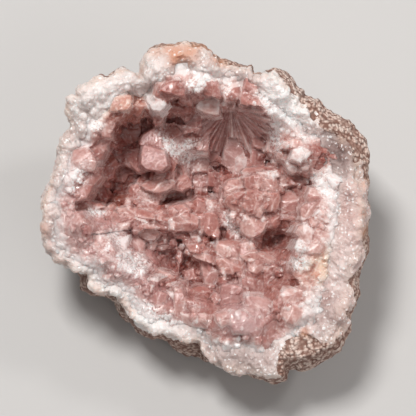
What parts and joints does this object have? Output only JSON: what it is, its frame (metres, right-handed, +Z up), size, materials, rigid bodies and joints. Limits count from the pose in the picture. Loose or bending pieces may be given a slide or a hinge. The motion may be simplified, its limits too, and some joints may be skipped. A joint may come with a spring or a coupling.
{
  "type": "amethyst geode",
  "caption": "Half of an amethyst geode: a bowl of pale quartz with a knobbly brown-stained rind, lined with a crust of pink crystals.",
  "frame": {"origin": "the middle of the footprint, on the surface the geode rests on", "axes": "+Z up; the mouth of the hollow faces up and leans 20 degrees towards -Y; +X to the right of someone looking into the hollow from -Y"},
  "size_m": [0.092, 0.0894, 0.0553],
  "materials": {
    "rock": "matte",
    "crystal": "satin"
  },
  "bodies": {
    "root": {"rock_shell": "rock", "crystal_crust": "crystal"}
  },
  "joints": []
}
